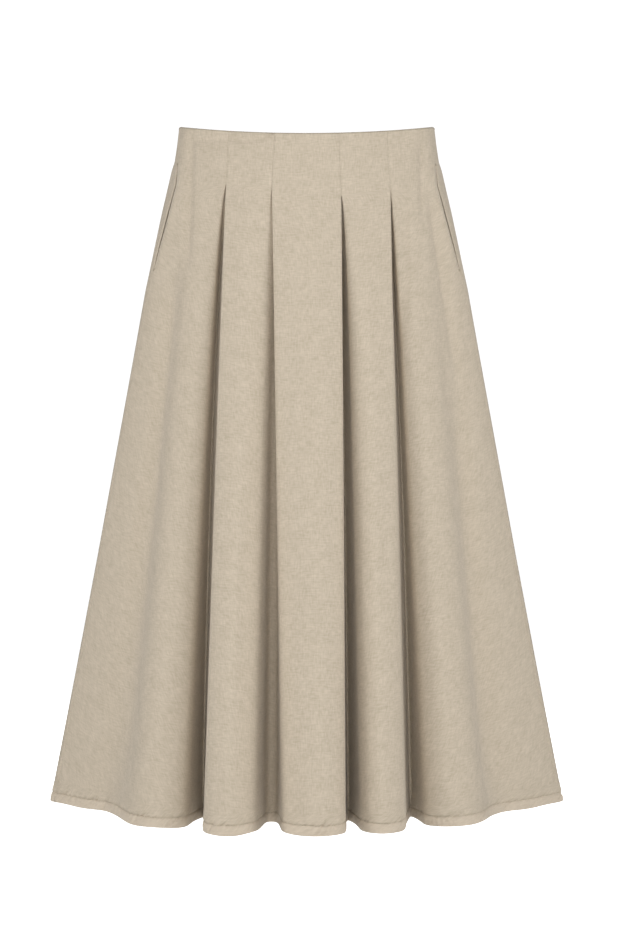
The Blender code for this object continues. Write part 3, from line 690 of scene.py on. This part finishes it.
def makePanels():
    made = {}
    for name, first, last in panelKnots():
        points, places, drops = panelGrid(first, last, panelGaps[name])
        points = dipped(points)
        if name == "front":
            points = mouthPushedIn(points, places, drops)
        uv = metric(points, places)
        wide = places[:, -1] - places[:, 0]
        print("cut", name, "waist %.3f hem %.3f length %.3f" % (wide[0], wide[-1], np.ptp(uv[..., 1])))
        strips = []
        for side in (0, -1):
            # the seam allowance is narrow beside the zip and the pockets, and full below them
            beside = drops[:, side] < closure["end"] + closure["past"]
            width = np.where(beside, turn["narrow"], turn["allowance"])
            strips.append(turnedIn(points, width, side))
        grid = np.concatenate([strips[0], points, strips[1]], axis=1)
        beyond = turn["uvStep"] * np.arange(1, strips[0].shape[1] + 1)
        uvs = [
            uv[:, :1] + np.stack([-beyond[::-1], 0 * beyond], -1),
            uv,
            uv[:, -1:] + np.stack([beyond, 0 * beyond], -1),
        ]
        uvs = np.concatenate(uvs, axis=1)
        made[name] = gridPiece("panel_" + name, grid, uvs, linen, skirt["wall"], rim=False)
    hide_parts("front_panel")
    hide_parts("back_panel_left")
    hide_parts("back_panel_right")
    return made


# the hem's section: how far down from the stitch line, and how far out from the cloth's middle.
# Above the stitches it is a single layer that swells a little, below them a double turned band
hemProfile = table(
    "down out",
    (-0.0120, 0.00035), (-0.0095, 0.00037), (-0.0070, 0.00048), (-0.0050, 0.00070),
    (-0.0034, 0.00095), (-0.0022, 0.00095), (-0.0012, 0.00062), (-0.0005, 0.00015),
    (0.0000, -0.00010), (0.0006, 0.00012), (0.0014, 0.00070), (0.0028, 0.00105),
    (0.0048, 0.00115), (0.0070, 0.00110), (0.0090, 0.00095), (0.0103, 0.00065),
    (0.0109, 0.00032), (0.0110, 0.0), (0.0109, -0.00032), (0.0103, -0.00065),
    (0.0090, -0.00090), (0.0060, -0.00100), (0.0020, -0.00100), (0.0005, -0.00090),
    (0.0000, -0.00070), (-0.0040, -0.00035), (-0.0120, -0.00034),
)


# the puckers' pitch, and how their places, depths, slants and widths vary
pucker = dict(
    pitch=0.0072,
    shifts=(0.0022, 0.0014),
    depths=(0.15, 0.85),
    slants=(-0.2, 0.8),
    widths=(0.0011, 0.0010),
    above=(0.008, 0.006),  # where they end above the stitches, and over what height they fade
    below=(0.0115, 0.004),
)


def puckers(along, down):
    # the small slanting creases that stitching pulls into a hem, uneven by sines of their number
    # k, each deepest where along = place + slant * down, and only near the stitches
    k = np.arange(int(along.max() / pucker["pitch"]) + 2)
    place = pucker["pitch"] * k
    place = place + pucker["shifts"][0] * np.sin(1.7 * k) + pucker["shifts"][1] * np.sin(3.1 * k + 1)
    deep = pucker["depths"][0] + pucker["depths"][1] * np.abs(np.sin(2.3 * k) * np.sin(0.37 * k + 0.5))
    slant = pucker["slants"][0] + pucker["slants"][1] * np.sin(0.9 * k + 2)
    width = pucker["widths"][0] + pucker["widths"][1] * np.abs(np.sin(1.3 * k))
    off = (along[..., None] - place - slant * down[..., None]) / width
    near = smooth((down + pucker["above"][0]) / pucker["above"][1])
    near = near * smooth((pucker["below"][0] - down) / pucker["below"][1])
    return (deep * np.exp(-(off**2))).sum(-1) * near


hemStitch = dict(pitch=0.0032, margin=0.003, length=0.0022, radius=0.00022, lift=0.00030)


def makeHem():
    # the lowest part of each panel: the hem's section carried along it, with its puckers
    stitchDrop = skirt["hemDrop"] - hem["fold"]
    stitchRow = np.argmin(np.abs(hemProfile["down"]))
    loop, knots = sectionLoop(*shareAt(stitchDrop + hemProfile["down"]))
    gone = measured(loop)
    ends = gone[:, knots["all"]]
    sewn, _ = sectionLoop(*shareAt([stitchDrop]))
    sewnGone = measured(sewn)
    made = {}
    for name, first, last in panelKnots():
        start, stop = ends[:, [first]] + hem["seamGap"], ends[:, [last]] - hem["seamGap"]
        columns = int(np.ceil((stop - start).max() / hem["columnPitch"]))
        places = start + (stop - start) * np.linspace(0, 1, columns)[None]
        points = dipped(readAt(loop, gone, places))
        down = np.broadcast_to(hemProfile["down"][:, None], places.shape)
        lift = hemProfile["out"][:, None] - hem["pucker"] * puckers(places, down)
        points = points + outwards(points) * lift[..., None]
        wave = hem["waveHeight"] * np.sin(places / hem["waveReach"])
        points[..., 2] += wave * smooth(down / hem["fold"])
        grid = points.transpose(1, 0, 2)
        uv = np.stack([places, -down], -1).transpose(1, 0, 2)
        made[name] = gridPiece("hem_" + name, grid, uv, hemLinen)
        near, far = start[stitchRow, 0] + hemStitch["margin"], stop[stitchRow, 0] - hemStitch["margin"]
        sites = np.arange(near, far, hemStitch["pitch"])[None]
        line = dipped(readAt(sewn, sewnGone, sites))[0]
        way, away = np.gradient(line, axis=0), outwards(line[None])[0]
        lift = hemStitch["lift"] - hem["pucker"] * puckers(sites, 0 * sites)[0]
        centres = line + away * lift[:, None]
        size = hemStitch["length"], hemStitch["radius"]
        # the stitches' thread is darker than the cloth: partly its own tone, partly painted shade of the
        # stitch line
        stitches("hem_stitches_" + name, centres, way, away, *size, threadWithPaintedShade)
    return made


# the turned waist edge's section, from inside over the top to outside
edgeProfile = table(
    "down out",
    (0.0034, -0.00036), (0.0030, -0.00062), (0.0004, -0.00068), (-0.0002, -0.00045), (-0.0004, 0.0),
    (-0.0002, 0.00045), (0.0004, 0.00066), (0.0011, 0.00062), (0.0015, 0.00036),
)
waistColumns = 420


def makeWaistEdge():
    # the edge strip lies over the stitched pleats, so it follows their outermost layer alone
    loop, _ = sectionLoop(edgeProfile["down"] / skirt["tipDrop"], 0 * edgeProfile["down"], folded=False)
    gone = measured(loop)
    gap = zipGap(0.0)
    share = np.linspace(0, 1, waistColumns)[None]
    places = gap + (gone[:, -1:] - 2 * gap) * share
    points = readAt(loop, gone, places)
    points = points + outwards(points) * edgeProfile["out"][:, None, None]
    uv = np.stack([places, -np.broadcast_to(edgeProfile["down"][:, None], places.shape)], -1)
    # the strip's linen is painted darker: painted shade of the turned fold
    return gridPiece("waist_edge", points, uv, waistEdgePaintedShade)


bagRows = table(
    "drop middleX middleDepth endX endDepth",
    (0.044, 0.132, 0.040, 0.084, 0.063),
    (0.085, 0.134, 0.042, 0.083, 0.067),
    (0.150, 0.140, 0.043, 0.084, 0.066),
    (0.215, 0.146, 0.044, 0.088, 0.066),
    (0.262, 0.150, 0.044, 0.096, 0.065),
    (0.286, 0.158, 0.042, 0.108, 0.062),
)
bag = dict(
    rows=44,
    columns=26,
    pitch=0.0016,
    underPanel=0.0018,
    start=0.0036,
    leaves=0.010,
    behind=0.0022,
    beyondSeam=((1.3, 0.0), (1.1, 0.7)),  # along and inwards, as shares of the mouth's depth
    hangsAway=0.030,
    lipReach=0.010,
    rounding=4,
    wall=0.0007,
)
overlock = dict(margin=0.002, pitch=0.0022, length=0.0052, radius=0.00035)
barTack = dict(
    count=5,
    pitch=0.0006,
    above=0.0015,
    places=(0.0008, 0.0024, 0.0048),
    lift=0.0005,
    length=0.0046,
    radius=0.00028,
)
mouthEdge = dict(
    rows=60,
    around=9,
    setBack=0.0004,
    raised=0.0002,
    ahead=0.002,
    tapers=(0.02, 0.98),
    taperPower=0.3,
    uvStep=0.0004,
)
beneathReach = 0.002


def sideSeams(knots):
    # each side's name, its seam's knot, and the sign of x there
    return ("right", knots["all"][knots["right"]], -1), ("left", knots["all"][knots["left"]], 1)


def beneath(loop, gone, place, below):
    # the line at a distance along each section, moved inwards
    steps = (-beneathReach, 0, beneathReach)
    near, here, ahead = (readAt(loop, gone, place[:, None] + step)[:, 0] for step in steps)
    way = unit((ahead - near) * (1, 1, 0))
    inwards = np.stack([-way[:, 1], way[:, 0], 0 * way[:, 0]], -1)
    return here + np.array(below)[..., None] * inwards


def makeMouthEdges():
    # the pressed fold along the front edge of each pocket's mouth: a ring of points carried down it
    drops = np.linspace(pocket["top"], pocket["end"], mouthEdge["rows"])
    loop, knots = sectionLoop(*shareAt(drops))
    gone = measured(loop)
    for side, knot, sign in sideSeams(knots):
        place = gone[:, knot] - sign * (pocketGap(drops) + mouthEdge["setBack"])
        below = lipDepth(drops) - mouthEdge["raised"]
        centre = beneath(loop, gone, place, below)
        ahead = beneath(loop, gone, place - sign * mouthEdge["ahead"], below)
        way = unit(centre - ahead)
        out = sign * np.stack([way[:, 1], -way[:, 0], 0 * way[:, 0]], -1)
        angle = np.linspace(0, 2 * np.pi, mouthEdge["around"])[None, :, None]
        t = np.clip(mouthShare(drops), *mouthEdge["tapers"])
        radius = pocket["edge"] * np.sin(np.pi * t) ** mouthEdge["taperPower"]
        ring = way[:, None] * np.cos(angle) - sign * out[:, None] * np.sin(angle)
        ring = ring * radius[:, None, None]
        uv = np.stack([0 * drops, -drops], -1)[:, None] + angle * (mouthEdge["uvStep"], 0)
        # the fold's linen is painted pale: a painted highlight along the mouth's edge
        gridPiece(f"pocket_{side}_mouth_edge", centre[:, None] + ring, uv, mouthEdgePaintedHighlight)


def makeOverlock(side, rim):
    # thread over the bag's edge, in the plane of the bag
    gone = measured(rim[None])
    places = np.arange(overlock["margin"], gone[0, -1] - overlock["margin"], overlock["pitch"])
    sites = readAt(rim[None], gone, places[None])[0]
    way = np.gradient(sites, axis=0)
    inwards = unit(np.cross((0, 1, 0), way))
    size = overlock["length"], overlock["radius"]
    stitches(f"pocket_{side}_overlock", sites, inwards, way, *size, threadWithPaintedShade, "pocketing")


def makeBarTacks(side, knot, sign):
    # close stitches across the seam at the upper and the lower end of the mouth
    steps = np.arange(barTack["count"]) * barTack["pitch"]
    drops = np.concatenate([pocket["top"] + steps - barTack["above"], pocket["end"] + steps])
    loop, _ = sectionLoop(*shareAt(drops))
    gone = measured(loop)
    places = [(gone[:, knot] - sign * place)[:, None] for place in barTack["places"]]
    near, middle, far = (readAt(loop, gone, place)[:, 0] for place in places)
    way = far - near
    away = unit(np.stack([way[:, 1], -way[:, 0], 0 * way[:, 0]], -1)) * -sign
    centres = middle + away * barTack["lift"]
    size = barTack["length"], barTack["radius"]
    stitches(f"pocket_{side}_bar_tacks", centres, way, away, *size, threadWithPaintedShade)


def bagMiddle(drops, height, start, sign):
    # the surface between a bag's two pieces, from beneath the seam to its far edge
    def line(x, depth):
        across, back = (np.interp(drops, bagRows["drop"], bagRows[name]) for name in (x, depth))
        return np.stack([sign * across, -back, height], -1)

    near, far = line("middleX", "middleDepth"), line("endX", "endDepth")
    lines = np.stack([*start, (start[1] + near) / 2, near, (near + far) / 2, far], axis=1)
    lengths = measured(lines)
    lines = readAt(lines, lengths, lengths[:, -1:] * np.linspace(0, 1, bag["columns"])[None])
    for _ in range(bag["rounding"]):  # rounds the joins of the straight stretches
        lines[:, 1:-1] = (lines[:, :-2] + 2 * lines[:, 1:-1] + lines[:, 2:]) / 4
    return lines


def makeBags():
    drops = np.linspace(bagRows["drop"][0], bagRows["drop"][-1], bag["rows"])
    loop, knots = sectionLoop(*shareAt(drops))
    gone = measured(loop)
    mouth = pocket["mouth"] * np.sin(np.pi * mouthShare(drops)) ** 0.5
    made = {}
    for side, knot, sign in sideSeams(knots):
        seam = gone[:, knot]
        below = bag["underPanel"] + bag["pitch"] / 2
        start = [beneath(loop, gone, seam - sign * d, below) for d in (bag["start"], bag["leaves"])]
        middle = bagMiddle(drops, loop[:, knot, 2], start, sign)
        out = outwards(middle) * -sign
        # the back bag hangs away from the mouth, and begins behind the seam
        deeper = bag["pitch"] / 2 + mouth[:, None] * smooth(1 - measured(middle) / bag["hangsAway"])
        back = []
        for along, under in bag["beyondSeam"]:
            place = seam + sign * (bag["behind"] + mouth * along)
            back.append(beneath(loop, gone, place, bag["underPanel"] + mouth * under))
        backBag = np.concatenate([np.stack(back, axis=1), middle - out * deeper[..., None]], axis=1)
        # the front bag goes in with the lip of the mouth
        lip = lipDepth(drops)[:, None] * smooth(1 - measured(middle) / bag["lipReach"])
        frontBag = middle + out * (bag["pitch"] / 2 - lip)[..., None]
        for piece, points in (("front_bag", frontBag), ("back_bag", backBag)):
            points = points[:, ::-1] if sign > 0 else points
            uv = metric(points, measured(points))
            name = f"pocket_{side}_{piece}"
            widest, length = np.ptp(uv[..., 0], axis=1).max(), np.ptp(uv[..., 1])
            print("cut", name, "widest %.3f length %.3f" % (widest, length))
            made[name] = gridPiece(name + "_cloth", points, uv, pocketing, bag["wall"])
            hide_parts(name)
        makeOverlock(side, np.concatenate([middle[:, -1], middle[-1, ::-1][1:]]))
        makeBarTacks(side, knot, sign)
    return made


tape = dict(top=0.004, rows=70, columns=9, width=0.0115, wall=0.0006, below=0.0016)
coil = dict(pitch=0.0015, below=0.0011, length=0.0040, radius=0.00035)


def makeCoil():
    # the closed coil between the tapes: a bar of wire across the seam for each of its turns
    drops = np.arange(closure["gapEnd"], closure["end"], coil["pitch"])
    loop, _ = sectionLoop(*shareAt(drops))
    centres = loop[:, 0] - (0, tape["below"] + coil["below"], 0)
    across = np.broadcast_to((1.0, 0.0, 0.0), centres.shape)
    inside = np.broadcast_to((0.0, -1.0, 0.0), centres.shape)
    stitches("zip_coil", centres, across, inside, coil["length"], coil["radius"], zipTape, "zip_tape")


def makeTapes():
    drops = np.linspace(tape["top"], closure["end"], tape["rows"])
    loop, _ = sectionLoop(*shareAt(drops))
    gone = measured(loop)
    gap = zipGap(drops)
    made = []
    for side, sign in (("right", 1), ("left", -1)):
        edge = gone[:, 0] if sign > 0 else gone[:, -1]
        shares = np.linspace(0, 1, tape["columns"])
        places = [edge + sign * (gap + tape["width"] * share) for share in shares]
        lines = [beneath(loop, gone, place, tape["below"]) for place in places]
        strip = np.stack(lines[::sign], axis=1)
        uv = metric(strip, measured(strip))
        made.append(gridPiece(f"zip_tape_{side}_cloth", strip, uv, zipTape, tape["wall"]))
        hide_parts(f"zip_tape_{side}")
    makeCoil()
    return made


panels = makePanels()
hems = makeHem()
makeWaistEdge()
makeMouthEdges()
bags = makeBags()
tapes = makeTapes()
for name in ("zip_slider", "zip_pull_tab"):
    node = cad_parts[name]
    node.data.materials.clear()
    node.data.materials.append(metal)


studioLight = dict(ambient=0.08, shown=1.05, distance=3.0, aim=(0.0, 0.0, -0.35))
softboxes = table(
    "azimuth height width tall power",
    (-68, 0.6, 1.0, 1.8, 38),
    (68, 0.6, 1.0, 1.8, 40),
    (0, 0.5, 1.5, 2.0, 30.5),
    (-30, 0.5, 1.0, 2.0, 15.5),
    (30, 0.5, 1.0, 2.0, 15.5),
    (180, 0.6, 1.5, 2.0, 26),
)


def studio():
    # a white room that lights the skirt faintly, soft lights from both sides, three from the
    # front that reach into the pleats, one from behind, and a white floor
    world = bpy.data.worlds.new("studio")
    world.use_nodes = True
    tree = world.node_tree
    shown = add(tree, "ShaderNodeBackground", {"Color": (1, 1, 1, 1), "Strength": studioLight["shown"]})
    faint = add(tree, "ShaderNodeBackground", {"Color": (1, 1, 1, 1), "Strength": studioLight["ambient"]})
    ray = add(tree, "ShaderNodeLightPath", {}).outputs["Is Camera Ray"]
    both = add(tree, "ShaderNodeMixShader", {0: ray, 1: faint.outputs[0], 2: shown.outputs[0]})
    tree.links.new(both.outputs[0], tree.nodes["World Output"].inputs["Surface"])
    bpy.context.scene.world = world
    bpy.context.scene.view_settings.view_transform = "Standard"
    for azimuth, height, width, tall, power in np.stack(list(softboxes.values()), axis=1):
        lamp = bpy.data.lights.new("softbox", "AREA")
        lamp.shape, lamp.energy = "RECTANGLE", power
        lamp.size, lamp.size_y = width, tall
        softbox = bpy.data.objects.new("softbox", lamp)
        angle, away = np.radians(azimuth), studioLight["distance"]
        place = Vector((away * np.sin(angle), -away * np.cos(angle), height))
        softbox.location = place
        softbox.rotation_euler = (Vector(studioLight["aim"]) - place).to_track_quat("-Z", "Y").to_euler()
        bpy.context.scene.collection.objects.link(softbox)
    white = bpy.data.materials.new("whitePaintedFloor")
    white.use_nodes = True
    shader = white.node_tree.nodes["Principled BSDF"]
    shader.inputs["Base Color"].default_value = linear("F4F4F2")
    shader.inputs["Roughness"].default_value = 0.9
    shader.inputs["Emission Color"].default_value = (1, 1, 1, 1)
    ray = add(white.node_tree, "ShaderNodeLightPath", {}).outputs["Is Camera Ray"]
    white.node_tree.links.new(ray, shader.inputs["Emission Strength"])  # it doesn't light the skirt
    size, level = 30.0, -1.05  # the level on which the wearer would stand
    ground = np.array([(x * size, y * size, level) for x, y in ((-1, -1), (1, -1), (1, 1), (-1, 1))])
    made = bpy.data.meshes.new("floor")
    made.from_pydata(ground.tolist(), [], [(0, 1, 2, 3)])
    made.materials.append(white)
    floor = bpy.data.objects.new("floor", made)
    bpy.context.scene.collection.objects.link(floor)


studio()
print("studio made")
